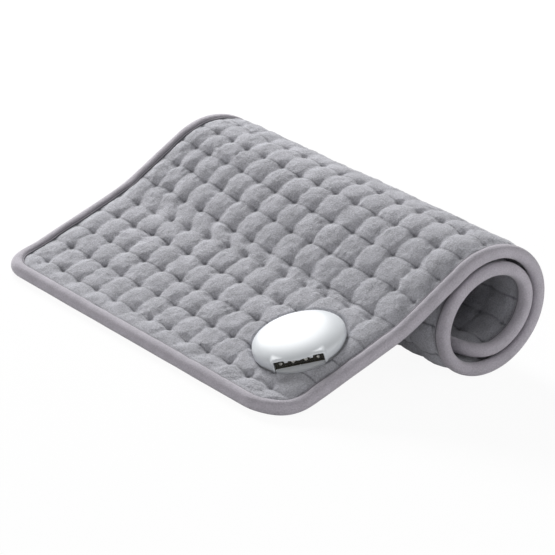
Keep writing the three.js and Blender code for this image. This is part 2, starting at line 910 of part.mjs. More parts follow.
function dockBase() {
  const plate = solid(prism(insetOval(dockWall + clearance), dockUnderside, floorTop));
  const lipHalf = mouthHalf - clearance;
  const lipZone = block(-lipHalf, lipHalf, -dockHalfDepth, mouthFace + dockWall + overrun,
    dockUnderside, floorTop);
  const lip = solid(prism(insetOval(0), dockUnderside, floorTop)).intersect(solid(lipZone));
  const throat = solid(prism(throatOutline, backPlateTop + clearance, dockUnderside));
  const key = block(-keyWidth / 2, keyWidth / 2, mouthFace, mouthFace + keyLength,
    floorTop - keyHeight, floorTop + keyHeight);
  const windowFront = leadRiseDepth - windowDepth / 2;
  const window = block(-windowHalf, windowHalf, windowFront, windowFront + windowDepth,
    0, floorTop + overrun);
  let body = plate.add(lip).add(throat).add(solid(key)).subtract(solid(window));
  body = drilled(body, screwPlaces, screwDiameter + 2 * clearance, 0, floorTop + overrun);
  return geometryOf(body);
}

function dockBackPlate() {
  const plate = solid(prism(insetOval(clampMargin), screwHeadBottom, backPlateTop));
  const notch = block(-windowHalf, windowHalf, leadRiseDepth - windowDepth / 2,
    dockHalfDepth + overrun, screwHeadBottom - overrun, backPlateTop + overrun);
  let body = plate.subtract(solid(notch));
  for (const { x, y } of screwPlaces) {
    body = body.subtract(solid(post(
      x, y,
      screwHeadDiameter + 2 * clearance, screwDiameter + 2 * clearance,
      screwHeadBottom, backPlateTop, screwSides,
    )));
  }
  return geometryOf(body);
}

function dockGasket() {
  const bottom = dockUnderside;
  const top = dockUnderside + gasketThickness;
  const ring = solid(prism(insetOval(clearance), bottom, top));
  const inside = solid(prism(insetOval(dockWall), bottom - overrun, top + overrun));
  const mouthZone = block(-mouthHalf, mouthHalf, -dockHalfDepth - overrun, 0,
    bottom - overrun, top + overrun);
  return geometryOf(ring.subtract(inside).subtract(solid(mouthZone)));
}

const pinPlaces = Array.from({ length: cellCount }, (_, cell) => (
  (cell + 0.5) * mouthWidth / cellCount - mouthHalf
));

function pinBar(x, front, back, diameter) {
  const bar = new THREE.CylinderGeometry(diameter / 2, diameter / 2, back - front, pinSides);
  return bar.translate(x, (front + back) / 2, pinLevel);
}

function socketInsert() {
  const front = insertBack - insertDepth;
  const half = mouthHalf - clearance;
  const bore = pinDiameter + 2 * clearance;
  let body = solid(block(-half, half, front, insertBack, floorTop + clearance, mouthTop - clearance));
  for (const x of pinPlaces) {
    body = body.subtract(solid(pinBar(x, front - overrun, insertBack + overrun, bore)));
  }
  return geometryOf(body);
}

function contactPin() {
  const radius = pinDiameter / 2;
  const front = mouthFace + pinRecess;
  const back = insertBack + pinTail;
  const profile = [
    new THREE.Vector2(0, front),
    new THREE.Vector2(radius / 2, front),
    new THREE.Vector2(radius, front + radius / 2),
    new THREE.Vector2(radius, back),
    new THREE.Vector2(0, back),
  ];
  return outward(bare(new THREE.LatheGeometry(profile, pinSides)));
}

function dockScrew() {
  const head = screwHeadDiameter / 2;
  const shank = screwDiameter / 2;
  const profile = [
    new THREE.Vector2(0, 0),
    new THREE.Vector2(head, 0),
    new THREE.Vector2(shank, backPlateThickness),
    new THREE.Vector2(shank, screwLength - shank),
    new THREE.Vector2(0, screwLength),
  ];
  return outward(bare(new THREE.LatheGeometry(profile, screwSides)));
}

function circuitBoard() {
  const half = pinPlaces[cellCount - 1] + pinDiameter / 2 + boardPinMargin;
  const front = insertBack + clearance;
  return block(-half, half, front, boardBack, boardBottom, boardBottom + boardThickness);
}

// Top cover: cut for the dock, pressed flat where the roll stands

function dockFrame() {
  const seat = frameAt(dockAlong);
  const frame = new THREE.Matrix4().makeTranslation(seat.x, dockAcross, seat.z);
  frame.multiply(new THREE.Matrix4().makeRotationY(-restAngle));
  return frame.multiply(new THREE.Matrix4().makeRotationZ(-dockTurn));
}

function topCover() {
  const frame = dockFrame();
  const seat = prism(insetOval(-clearance), clampLevel, crown).applyMatrix4(frame);
  const noseSeat = block(-noseHalf - clearance, noseHalf + clearance, mouthFace - clearance, 0,
    clampLevel, crown).applyMatrix4(frame);
  const opening = prism(insetOval(throatMargin), 0, crown).applyMatrix4(frame);
  const ground = block(-padLength, padLength, -padWidth, padWidth, -padLength, 0);
  let body = solid(quiltedCover(1)).subtract(solid(edgeBinding(clearance)));
  for (const cut of [seat, noseSeat, opening, ground]) {
    body = body.subtract(solid(cut));
  }
  return geometryOf(body);
}

function bottomCover() {
  return geometryOf(solid(quiltedCover(-1)).subtract(solid(edgeBinding(clearance))));
}

// Materials and assembly

const finish = (color, roughness, metalness = 0) => (
  new THREE.MeshStandardMaterial({ color, roughness, metalness })
);

function named(name, geometry, material) {
  const mesh = new THREE.Mesh(geometry, material);
  mesh.name = name;
  return mesh;
}

const pad = new THREE.Group();
pad.add(
  named('top_cover', topCover(), finish('#a9a9b0', 0.95)),
  named('bottom_cover', bottomCover(), finish('#a3a3aa', 0.95)),
  named('edge_binding', edgeBinding(), finish('#9a979f', 0.95)),
  named('carrier_sheet', carrierSheet(), finish('#e4e2da', 0.9)),
  named('heating_wire', heatingWire(), finish('#c9b48a', 0.6)),
  named('heater_lead', heaterLead(), finish('#b8322c', 0.5)),
  named('cutout_lead', cutoutLead(), finish('#b8322c', 0.5)),
  named('return_lead', returnLead(), finish('#2b2b2e', 0.5)),
  named('sensor_lead_1', sensorLead(1, -1), finish('#e8e6df', 0.5)),
  named('sensor_lead_2', sensorLead(2, 1), finish('#e8e6df', 0.5)),
  named('thermal_cutout', thermalCutout(), finish('#3a3a3d', 0.5)),
  named('temperature_sensor', temperatureSensor(), finish('#26262a', 0.5)),
  named('splice_start', splice(firstRunInset, spliceStartAcross), finish('#8f6a3a', 0.5)),
  named('splice_end', splice(spliceEndAlong, spliceEndAcross), finish('#8f6a3a', 0.5)),
);

const dock = new THREE.Group();
dockFrame().decompose(dock.position, dock.quaternion, dock.scale);
dock.add(
  named('dock_cover', dockCover(), finish('#f1f3f5', 0.25)),
  named('dock_base', dockBase(), finish('#e6e7e8', 0.4)),
  named('dock_back_plate', dockBackPlate(), finish('#d9dadb', 0.5)),
  named('dock_gasket', dockGasket(), finish('#c9cacc', 0.8)),
  named('socket_insert', socketInsert(), finish('#3d3c37', 0.6)),
  named('circuit_board', circuitBoard(), finish('#2c6b3f', 0.6)),
);
pinPlaces.forEach((x, i) => {
  const pin = named(`contact_pin_${i + 1}`, contactPin(), finish('#d9d6c8', 0.3, 0.9));
  pin.position.set(x, 0, pinLevel);
  dock.add(pin);
});
screwPlaces.forEach(({ x, y }, i) => {
  const screw = named(`dock_screw_${i + 1}`, dockScrew(), finish('#9c9ea1', 0.35, 1));
  screw.rotation.x = Math.PI / 2;
  screw.position.set(x, y, screwHeadBottom);
  dock.add(screw);
});
pad.add(dock);

// The origin lies at the bottom centre of the whole
pad.updateMatrixWorld(true);
const bounds = new THREE.Box3().setFromObject(pad, true);
const centre = bounds.getCenter(new THREE.Vector3());
pad.position.set(-centre.x, -centre.y, -bounds.min.z);

export default pad;
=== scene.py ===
import math

import bpy
import numpy as np
from mathutils import Matrix, Vector


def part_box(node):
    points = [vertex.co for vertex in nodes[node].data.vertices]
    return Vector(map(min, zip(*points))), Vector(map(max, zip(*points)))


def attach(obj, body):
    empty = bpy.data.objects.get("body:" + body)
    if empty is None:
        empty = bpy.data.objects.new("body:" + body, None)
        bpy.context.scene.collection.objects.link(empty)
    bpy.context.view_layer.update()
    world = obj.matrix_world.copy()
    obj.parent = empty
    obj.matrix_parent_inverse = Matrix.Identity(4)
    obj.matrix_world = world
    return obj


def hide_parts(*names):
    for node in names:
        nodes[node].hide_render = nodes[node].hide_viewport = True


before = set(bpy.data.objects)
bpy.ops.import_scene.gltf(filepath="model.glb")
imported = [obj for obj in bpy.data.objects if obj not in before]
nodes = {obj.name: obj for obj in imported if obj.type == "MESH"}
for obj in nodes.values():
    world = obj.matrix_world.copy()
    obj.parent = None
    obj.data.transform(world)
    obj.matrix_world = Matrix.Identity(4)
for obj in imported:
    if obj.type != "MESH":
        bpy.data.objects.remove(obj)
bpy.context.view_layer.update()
scene = bpy.context.scene
mm = 0.001
far = 99.0  # millimetres, past any distance that matters here
tiny = 1e-9  # keeps a division from meeting zero

# A quilted heating pad, partly rolled up, with a white dock for a plug-in controller.
# The soft pieces are laid out flat in millimetres, as the distance along the pad from its
# free edge, the distance across it and the height over its middle plane, and are then
# bent along the pad's route.


def log(words):
    print("scene:", words, flush=True)


# The route of the bent pad

padSize = {
    "length": 560.0,
    "width": 305.0,
    "cornerRadius": 30.0,
    "bindingWidth": 9.0,
    "bindingHalf": 4.4,
    "stitchLevel": 2.3,
}

routeSize = {
    "restAngle": math.radians(24.6),
    "rampAngle": math.radians(36.0),
    "footRadius": 67.5,
    "restLength": 62.8,
    "shoulderRadius": 120.0,
    "rollHalfLength": 47.5,
    "rollHalfHeight": 43.7,
    "rollTilt": math.radians(23.5),
    "lengthTightening": 10.6,
    "heightTightening": 11.7,
    "turns": 3.0,
    "step": 0.25,
    "rollStep": math.radians(0.25),
}


def rollPoints():
    size = routeSize
    angle = math.pi - np.arange(0, 2 * math.pi * (size["turns"] + 1), size["rollStep"])

    def place(angles, turned):
        flatX = (size["rollHalfLength"] - size["lengthTightening"] * turned) * np.cos(angles)
        flatZ = (size["rollHalfHeight"] - size["heightTightening"] * turned) * np.sin(angles)
        c, s = math.cos(size["rollTilt"]), math.sin(size["rollTilt"])
        return np.stack([c * flatX - s * flatZ, s * flatX + c * flatZ], -1)

    # The roll starts where its outline is as steep as the slope that leads to it
    outline = place(angle, np.zeros_like(angle))
    step = np.diff(outline, axis=0)
    heading = np.arctan2(step[:, 1], step[:, 0])
    start = int(np.argmax((heading <= size["rampAngle"]) & (heading > 0)))
    angle = angle[start:]
    return place(angle, (angle[0] - angle) / (2 * math.pi))


def layRoute():
    size = routeSize
    x, z, heading, along = [0.0], [padSize["bindingHalf"]], [0.0], [0.0]

    def run(length, turn):
        steps = math.ceil(length / size["step"])
        for _ in range(steps):
            middle = heading[-1] + turn / steps / 2
            x.append(x[-1] + math.cos(middle) * length / steps)
            z.append(z[-1] + math.sin(middle) * length / steps)
            heading.append(heading[-1] + turn / steps)
            along.append(along[-1] + length / steps)

    roll = rollPoints()
    drop = roll[0, 1] - roll[:, 1].min()
    run(padSize["bindingWidth"], 0)  # flat on the floor
    run(size["footRadius"] * size["restAngle"], size["restAngle"])
    run(size["restLength"], 0)  # straight, with the dock on it
    turn = size["rampAngle"] - size["restAngle"]
    run(size["shoulderRadius"] * turn, turn)  # steeper, up to the roll
    climbed = z[-1] - padSize["bindingHalf"]
    run((drop - climbed) / math.sin(size["rampAngle"]), 0)
    step = np.diff(roll, axis=0)
    rollHeading = np.unwrap(np.arctan2(step[:, 1], step[:, 0]))
    rollX = x[-1] + roll[1:, 0] - roll[0, 0]
    rollZ = z[-1] + roll[1:, 1] - roll[0, 1]
    rollAlong = along[-1] + np.cumsum(np.hypot(step[:, 0], step[:, 1]))
    parts = ((along, rollAlong), (x, rollX), (z, rollZ), (heading, rollHeading))
    return [np.concatenate(pair) for pair in parts]


routeAlong, routeX, routeZ, routeHeading = layRoute()
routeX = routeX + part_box("edge_binding")[0].x / mm


def bend(along, across, out):
    heading = np.interp(along, routeAlong, routeHeading)
    x = np.interp(along, routeAlong, routeX) - out * np.sin(heading)
    z = np.interp(along, routeAlong, routeZ) + out * np.cos(heading)
    return np.stack([x, across + 0 * x, z], -1) * mm


def halfWidth(along, inset):
    radius = padSize["cornerRadius"]
    fromEnd = np.minimum(along, padSize["length"] - along)
    into = np.maximum(radius - fromEnd, 0)
    reach = np.maximum((radius - inset) ** 2 - into ** 2, 0)
    return padSize["width"] / 2 - radius + np.sqrt(reach)


# The dock's own frame: x along its mouth, y away from the mouth, z out of the pad

dockSize = {
    "halfLength": 30.7,
    "halfDepth": 30.2,
    "fullness": 2.05,  # 2 is an ellipse, and more is squarer
    "noseHalf": 18.0,
    "mouthFace": -27.2,
    "along": 65.88,
    "across": 49.6 - padSize["width"] / 2,
    "turn": math.radians(39.0),
    "throatInset": 7.0,
    "underside": 2.9,
    "leastShare": 0.05,  # stops the distance from growing without end at the dock's centre
    "underNose": -1.0,  # the distance given to all places under the nose
}


def dockFrame():
    seat = bend(dockSize["along"], dockSize["across"], 0)
    place = Matrix.Translation(Vector(seat.reshape(3)))
    place = place @ Matrix.Rotation(-routeSize["restAngle"], 4, "Y")
    return place @ Matrix.Rotation(-dockSize["turn"], 4, "Z")


def dockDistance(along, across):
    # How far a place on the pad is from the dock's outline, and negative under the dock
    c, s = math.cos(dockSize["turn"]), math.sin(dockSize["turn"])
    da, dc = along - dockSize["along"], across - dockSize["across"]
    x, y = da * c - dc * s, da * s + dc * c
    power = dockSize["fullness"]
    share = (np.abs(x / dockSize["halfLength"]) ** power
             + np.abs(y / dockSize["halfDepth"]) ** power) ** (1 / power)
    fromOval = (share - 1) * np.hypot(x, y) / np.maximum(share, dockSize["leastShare"])
    beside = np.maximum(np.abs(x) - dockSize["noseHalf"], 0)
    before = np.maximum(dockSize["mouthFace"] - y, 0)
    fromNose = np.where(y < 0, np.hypot(beside, before), far)
    return np.where(fromNose > 0, np.minimum(fromOval, fromNose), dockSize["underNose"])


# Meshes


def deselectAll():
    bpy.ops.object.select_all(action="DESELECT")


def pickOnly(piece):
    deselectAll()
    piece.select_set(True)
    bpy.context.view_layer.objects.active = piece


def applyModifier(piece, kind, **settings):
    pickOnly(piece)
    name = kind.lower()
    modifier = piece.modifiers.new(name, kind)
    for key, value in settings.items():
        setattr(modifier, key, value)
    bpy.ops.object.modifier_apply(modifier=name)


def combine(piece, tool, operation):
    applyModifier(piece, "BOOLEAN", object=tool, operation=operation, solver="EXACT")
    bpy.data.objects.remove(tool)


def outwardNormals(piece, mergeGap):
    pickOnly(piece)
    bpy.ops.object.mode_set(mode="EDIT")
    bpy.ops.mesh.select_all(action="SELECT")
    bpy.ops.mesh.remove_doubles(threshold=mergeGap)
    bpy.ops.mesh.normals_make_consistent(inside=False)
    bpy.ops.object.mode_set(mode="OBJECT")


def shadeSmooth(piece):
    polygons = piece.data.polygons
    polygons.foreach_set("use_smooth", np.ones(len(polygons), bool))


def newPiece(name, points, faces, uv):
    mesh = bpy.data.meshes.new(name)
    mesh.from_pydata(points.reshape(-1, 3).tolist(), [], faces)
    mesh.validate()
    layer = mesh.uv_layers.new(name="cloth")
    loops = np.zeros(len(mesh.loops), np.int32)
    mesh.loops.foreach_get("vertex_index", loops)
    layer.data.foreach_set("uv", uv.reshape(-1, 2)[loops].ravel())
    piece = bpy.data.objects.new(name, mesh)
    scene.collection.objects.link(piece)
    shadeSmooth(piece)
    return piece


def markCreases(piece, values):
    # The plush is painted darker where this attribute says that a stitch pulls it in: painted
    # shade in the crease, with some of the darker thread and pressed pile there
    layer = piece.data.attributes.new("crease", "FLOAT", "POINT")
    layer.data.foreach_set("value", values.astype(np.float32))


# Quilting: cloth that is sewn down in rows and columns and swells between them

stitching = {
    "rows": (24.0, 45.6, 65.6, 87.0, 107.5, 120.0, 141.5, 161.8, 180.8, 200.3),
    "slants": (0.0, 0.0, 0.0, 0.0, -0.02, 0.055, 0.045, 0.036, 0.028, 0.015),
    "rowPitch": 20.9,
    "rowCount": 26,
    "weakRow": 4,
    "flatColumns": (
        142, 122.5, 103, 83.5, 63.5, 43, 22.5, 4, -15.5, -37, -58, -79, -101, -123, -144,
    ),
    "rampColumns": (
        144, 126, 109, 91.5, 73, 52.5, 32, 12, -9, -30, -51.5, -72.5, -94.5, -117.5, -139,
    ),
    "rollColumns": (
        141, 122.5, 105.5, 86.5, 68, 47.5, 27.5, 8, -12, -33, -54, -75, -96, -118, -140,
    ),
    "rampFrom": (107.0, 121.0),
    "rollFrom": (160.0, 182.0),
}

quilting = {
    "seed": 3,
    "cell": 1.1,
    # How far the stitch lines stray, and how unevenly they hold
    "wander": 0.7,
    "wanderCell": 16.0,
    "weakShare": 0.55,
    "holdVariety": 0.25,
    "holdCell": 12.0,
    # How wide each line is and how hard it holds. Its middle is the share of its hold half
    # way between crossings, and beside is how far the harder hold reaches from a crossing.
    "rowReach": 0.6,
    "rowHold": 0.85,
    "rowMiddle": 0.28,
    "columnReach": 0.8,
    "columnHold": 0.6,
    "columnMiddle": 0.42,
    "crossingReach": 1.15,
    "crossingHold": 20.0,
    "besideColumn": 4.0,
    "besideRow": 2.5,
    "seamReach": 0.4,
    "seamHold": 30.0,
    # The filling
    "startHeight": 1.5,
    "fill": 0.078,
    "fillVariety": 0.2,
    "fillCell": 13.0,
    "besideDock": 1.0,
    "besideDockReach": 9.0,
    "passes": 240,
    # Small wrinkles on the puffs, and how high a puff stands in the open and in the roll
    "wrinkle": 0.22,
    "wrinkleCell": 5.5,
    "fineShare": 0.7,
    "fineCell": 2.8,
    "wrinkleFrom": 1.5,
    "crests": (3.6, 2.7),
    "crestPower": 6,
    "innerFrom": (375.0, 405.0),
    # The skin, a little longer than what it covers
    "slack": 0.032,
    "slackVariety": 0.9,
    "slackCell": 3.2,
    "steps": 50,
    "quickSteps": 5,
    "softness": 0.35,
    "stiffness": 0.05,
    "skewShare": 0.6,
    "startSpread": 0.1,
    "strayHeight": 0.15,
    "crossingFix": 0.995,
    "rowFix": 0.5,
    "seamFree": 0.02,
    # The lip at the seam, and how dark the painted shade in each crease is
    "lipHeight": 0.25,
    "lipReach": 0.8,
    "lipEnd": 3.0,
    "seamShadeReach": 0.9,
    "rowShade": 0.75,
    "columnShade": 0.3,
}


def ease(share):
    return share * share * (3 - 2 * share)


def easeBetween(values, ends):
    return ease(np.clip((values - ends[0]) / (ends[1] - ends[0]), 0, 1))


def softNoise(seed, shape, cell):
    # Random values on a coarse grid, with smooth steps between them
    values = np.random.default_rng(seed)
    rows, columns = (int(count / cell) + 3 for count in shape)  # with some cells to spare
    coarse = values.normal(0, 1, (rows, columns))
    down, over = np.arange(shape[0]) / cell, np.arange(shape[1]) / cell
    i, j = down.astype(int), over.astype(int)
    u, v = ease(down - i)[:, None], ease(over - j)
    near = coarse[np.ix_(i, j)] * (1 - v) + coarse[np.ix_(i, j + 1)] * v
    beyond = coarse[np.ix_(i + 1, j)] * (1 - v) + coarse[np.ix_(i + 1, j + 1)] * v
    return near * (1 - u) + beyond * u


def stitchDistances(along, across):
    stitches = stitching
    toRow, nearRow = np.full(along.shape, far), np.zeros(along.shape, int)
    for index in range(stitches["rowCount"]):
        measured = min(index, len(stitches["rows"]) - 1)
        start = stitches["rows"][measured] + (index - measured) * stitches["rowPitch"]
        slant = stitches["slants"][index] if index == measured else 0.0
        distance = np.abs(along - start - slant * across)
        nearRow = np.where(distance < toRow, index, nearRow)
        toRow = np.minimum(toRow, distance)
    ramp = easeBetween(along, stitches["rampFrom"])
    roll = easeBetween(along, stitches["rollFrom"])
    toColumn = np.full(along.shape, far)
    columns = zip(stitches["flatColumns"], stitches["rampColumns"], stitches["rollColumns"])
    for flat, onRamp, onRoll in columns:
        place = flat + (onRamp - flat) * ramp + (onRoll - onRamp) * roll
        toColumn = np.minimum(toColumn, np.abs(across - place))
    return toRow, toColumn, nearRow


def stitchLines(along, across, cell, seed):
    # Each is 1 on its own line and falls to 0 beside it
    size = quilting
    shape = along.shape
    strayAlong, strayAcross = (
        size["wander"] * softNoise(seed + k, shape, size["wanderCell"] / cell) for k in (1, 2))
    toRow, toColumn, nearRow = stitchDistances(along + strayAlong, across + strayAcross)
    strength = 1 - size["weakShare"] * (nearRow == stitching["weakRow"])
    uneven = softNoise(seed + 3, shape, size["holdCell"] / cell)
    strength = strength * (1 + size["holdVariety"] * uneven)
    toCrossing = (toRow ** 2 + toColumn ** 2) / size["crossingReach"] ** 2
    return {
        "row": np.exp(-(toRow / size["rowReach"]) ** 2) * strength,
        "column": np.exp(-(toColumn / size["columnReach"]) ** 2),
        "crossing": np.exp(-toCrossing) * strength,
        "besideRow": np.exp(-(toRow / size["besideRow"]) ** 2),
        "besideColumn": np.exp(-(toColumn / size["besideColumn"]) ** 2),
    }


def seamDistance(along, across):
    seam = padSize["bindingWidth"]
    fromEnd = np.minimum(along, padSize["length"] - along)
    return np.minimum(fromEnd - seam, halfWidth(along, seam) - np.abs(across))


def stitchHold(lines, toSeam):
    size = quilting
    rowShare = size["rowMiddle"] + (1 - size["rowMiddle"]) * lines["besideColumn"]
    columnShare = size["columnMiddle"] + (1 - size["columnMiddle"]) * lines["besideRow"]
    rowHold = size["rowHold"] * lines["row"] * rowShare
    columnHold = size["columnHold"] * lines["column"] * columnShare
    hold = rowHold + columnHold + size["crossingHold"] * lines["crossing"]
    return hold + size["seamHold"] * (toSeam < size["seamReach"])


def swellBetween(hold, fill, cell):
    # A skin under even pressure, held back by the stitches
    height = np.full(hold.shape, quilting["startHeight"])
    area = cell ** 2 / 4
    stiff = 1 + hold * area
    for _ in range(quilting["passes"]):
        around = height[:-2, 1:-1] + height[2:, 1:-1] + height[1:-1, :-2] + height[1:-1, 2:]
        height[1:-1, 1:-1] = (around / 4 + fill[1:-1, 1:-1] * area) / stiff[1:-1, 1:-1]
        height[[0, -1]] = 0
        height[:, [0, -1]] = 0
    return height


def puffHeights(along, across, hold, crest, cell, seed):
    size = quilting
    shape = along.shape
    uneven = softNoise(seed + 5, shape, size["fillCell"] / cell)
    fill = size["fill"] * (1 + size["fillVariety"] * uneven)
    fromDock = np.clip(dockDistance(along, across), 0, None)
    beside = np.exp(-(fromDock / size["besideDockReach"]) ** 2)
    fill = fill * (1 + size["besideDock"] * beside)
    height = swellBetween(hold, fill, cell)
    wrinkles = (softNoise(seed + 7, shape, size["wrinkleCell"] / cell)
                + size["fineShare"] * softNoise(seed + 8, shape, size["fineCell"] / cell))
    full = np.clip(height / size["wrinkleFrom"], 0, 1)
    height = np.maximum(height + size["wrinkle"] * wrinkles * full, 0)
    power = size["crestPower"]
    return height / (1 + (height / crest) ** power) ** (1 / power)


def everyOther(count, start):
    pairs = min(len(range(start, count, 2)), len(range(start + 1, count, 2)))
    return slice(start, start + 2 * pairs, 2), slice(start + 1, start + 1 + 2 * pairs, 2)


def gridPairs(shape, skewShare):
    # Neighbours in the grid, in groups where no point comes twice
    rows, columns = shape
    pairs = []
    for start in (0, 1):
        a, b = everyOther(rows, start)
        pairs.append(((a, slice(None)), (b, slice(None)), 1.0))
        pairs.append(((a, slice(0, columns - 1)), (b, slice(1, columns)), skewShare))
        pairs.append(((a, slice(1, columns)), (b, slice(0, columns - 1)), skewShare))
        a, b = everyOther(columns, start)
        pairs.append(((slice(None), a), (slice(None), b), 1.0))
    return pairs


def pullTogether(first, second, rest, weightA, weightB, soft):
    gap = second - first
    length = np.sqrt((gap * gap).sum(-1))
    excess = (length - rest) / (length * (weightA + weightB) + tiny)
    gap *= np.where(excess < 0, excess * soft, excess)[..., None]
    first += gap * weightA[..., None]
    second -= gap * weightB[..., None]


def relaxSkin(points, free, crest, cell, seed):
    # The skin is longer than what it covers, so it settles into fine folds
    size = quilting
    variety = softNoise(seed + 6, free.shape, size["slackCell"] / cell)
    slack = 1 + size["slack"] * np.clip(1 + size["slackVariety"] * variety, 0, None)
    joins = []
    for a, b, share in gridPairs(free.shape, size["skewShare"]):
        rest = np.sqrt(((points[a] - points[b]) ** 2).sum(-1)) * slack[a]
        joins.append((a, b, rest, free[a] * share, free[b] * share))
    spread = np.random.default_rng(seed)
    points[..., 2] += spread.normal(0, size["startSpread"], free.shape) * free
    middle = (slice(1, -1), slice(1, -1))
    stray = size["strayHeight"]
    for _ in range(size["steps"]):
        for a, b, rest, weightA, weightB in joins:
            pullTogether(points[a], points[b], rest, weightA, weightB, size["softness"])
        around = points[:-2, 1:-1] + points[2:, 1:-1] + points[1:-1, :-2] + points[1:-1, 2:]
        bending = size["stiffness"] * (around / 4 - points[middle])
        points[middle] += bending * free[middle][..., None]
        points[..., 2] = np.clip(points[..., 2], -stray, crest + stray)


def quiltSurface(along, across, cell, seed):
    size = quilting
    lines = stitchLines(along, across, cell, seed)
    toSeam = seamDistance(along, across)
    freeCrest, innerCrest = size["crests"]
    crest = freeCrest + (innerCrest - freeCrest) * easeBetween(along, size["innerFrom"])
    height = puffHeights(along, across, stitchHold(lines, toSeam), crest, cell, seed)
    points = np.stack([along, across, height], -1)
    free = 1 - size["crossingFix"] * np.clip(lines["crossing"], 0, 1)
    atSeam = np.where(toSeam < size["seamReach"], size["seamFree"], 1)
    free = free * (1 - size["rowFix"] * lines["row"]) * atSeam
    relaxSkin(points, free, crest, cell, seed)
    inside = np.maximum(toSeam, 0)
    lip = size["lipHeight"] * np.exp(-inside / size["lipReach"])
    points[..., 2] += lip * (toSeam < size["lipEnd"])
    # Painted shade along the stitched rows and columns, at the crossings and along the seam
    creases = (size["rowShade"] * lines["row"]
               + size["columnShade"] * lines["column"] * lines["besideRow"]
               + lines["crossing"] + np.exp(-(inside / size["seamShadeReach"]) ** 2))
    return points, np.clip(creases, 0, 1)


# Top and reverse cover, each with a plain underside inside the pad

coverSize = {
    "inset": 6.0,
    "innerLevel": 1.98,
    "reverseCell": 1.3,
    "reverseSeed": 43,
    "floorGap": 0.2,
    "dockGap": 0.05,
    "dockEdge": 0.4,
    "dockSlope": 1.3,
    "dockReach": 12.0,
    "underDock": 0.5,
    "openingBottom": -20.0,
}


def coverGrid(cell, inset):
    length = padSize["length"]
    rowCount = int(round((length - 2 * inset) / cell)) + 1
    columnCount = int(round((padSize["width"] - 2 * inset) / cell)) + 1
    along = np.linspace(inset, length - inset, rowCount)[:, None] + np.zeros(columnCount)
    across = halfWidth(along, inset) * np.linspace(-1, 1, columnCount)
    return along, across


def gridFaces(rows, columns):
    i, j = np.meshgrid(np.arange(rows - 1), np.arange(columns - 1), indexing="ij")
    a = (i * columns + j).ravel()
    return np.stack([a, a + columns, a + columns + 1, a + 1], -1).tolist()


def closingFaces(rows, columns):
    # The underside is one strip across the pad for each row, with walls up to the quilting
    last = columns - 1

    def upper(i, j):
        return i * columns + j

    def lower(i, k):
        return rows * columns + 2 * i + k

    faces = []
    for i in range(rows - 1):
        faces.append([lower(i, 0), lower(i, 1), lower(i + 1, 1), lower(i + 1, 0)])
        faces.append([upper(i, 0), lower(i, 0), lower(i + 1, 0), upper(i + 1, 0)])
        faces.append([upper(i + 1, last), lower(i + 1, 1), lower(i, 1), upper(i, last)])
    for i, order in ((0, 1), (rows - 1, -1)):
        rim = [upper(i, j) for j in range(columns)] + [lower(i, 1), lower(i, 0)]
        faces.append(rim[::order])
    return faces


def pressUnderDock(level, along, across):
    size = coverSize
    away = dockDistance(along, across)
    pressed = dockSize["underside"] - size["dockGap"]
    rising = pressed + np.clip(away - size["dockEdge"], 0, None) * size["dockSlope"]
    level = np.minimum(level, np.where(away < size["dockReach"], rising, far))
    return np.where(away < -size["underDock"], pressed, level)


def quiltedCover(name, side, cell, seed):
    along, across = coverGrid(cell, coverSize["inset"])
    rows, columns = along.shape
    points, creases = quiltSurface(along, across, cell, seed)
    level = padSize["stitchLevel"] + points[..., 2]
    if side > 0:
        level = pressUnderDock(level, points[..., 0], points[..., 1])
    outer = bend(points[..., 0], points[..., 1], side * level)
    outer[..., 2] = np.maximum(outer[..., 2], coverSize["floorGap"] * mm)
    ends = [0, columns - 1]
    inner = bend(points[:, ends, 0], points[:, ends, 1], side * coverSize["innerLevel"])
    faces = gridFaces(rows, columns) + closingFaces(rows, columns)
    if side < 0:
        faces = [face[::-1] for face in faces]
    corners = np.concatenate([outer.reshape(-1, 3), inner.reshape(-1, 3)])
    flat = np.stack([along, across], -1) * mm
    uv = np.concatenate([flat.reshape(-1, 2), flat[:, ends].reshape(-1, 2)])
    piece = newPiece(name, corners, faces, uv)
    markCreases(piece, np.concatenate([creases.ravel(), np.zeros(2 * rows)]))
    log(f"{name}: {rows} x {columns} points")
    return piece


# Edge binding, a folded strip swept round the pad's outline. Its section is the distance
# from the fold and the height over the middle plane.

bindingSize = {
    "station": 2.0,
    "outer": [
        (9.0, 3.2), (8.6, 3.42), (8.1, 3.36), (7.7, 3.42), (7.2, 3.92), (6.3, 4.32),
        (5.0, 4.46), (3.7, 4.36), (2.5, 4.02), (1.4, 3.36), (0.6, 2.4), (0.15, 1.25),
        (0.0, 0.0),
    ],
    "inner": [
        (9.0, 2.8), (8.4, 2.74), (7.7, 2.78), (6.3, 3.32), (5.0, 3.5), (3.7, 3.36),
        (2.6, 2.9), (1.7, 2.1), (1.2, 1.1), (1.05, 0.0),
    ],
    "closing": 0.4,
    "mergeGap": 1e-6,
    "threadLine": 8.1,
    "threadReach": 0.65,
    "seed": 11,
    "waveHeight": 0.16,
    "heightWaves": 60,
    "swellWidth": 8.2,
    "swellShare": 0.6,
    "waveWidth": 0.3,
    "widthWaves": 90,
    "pucker": 0.07,
    "puckerWaves": 260,
    "puckerLine": 7.9,
    "puckerReach": 1.6,
}


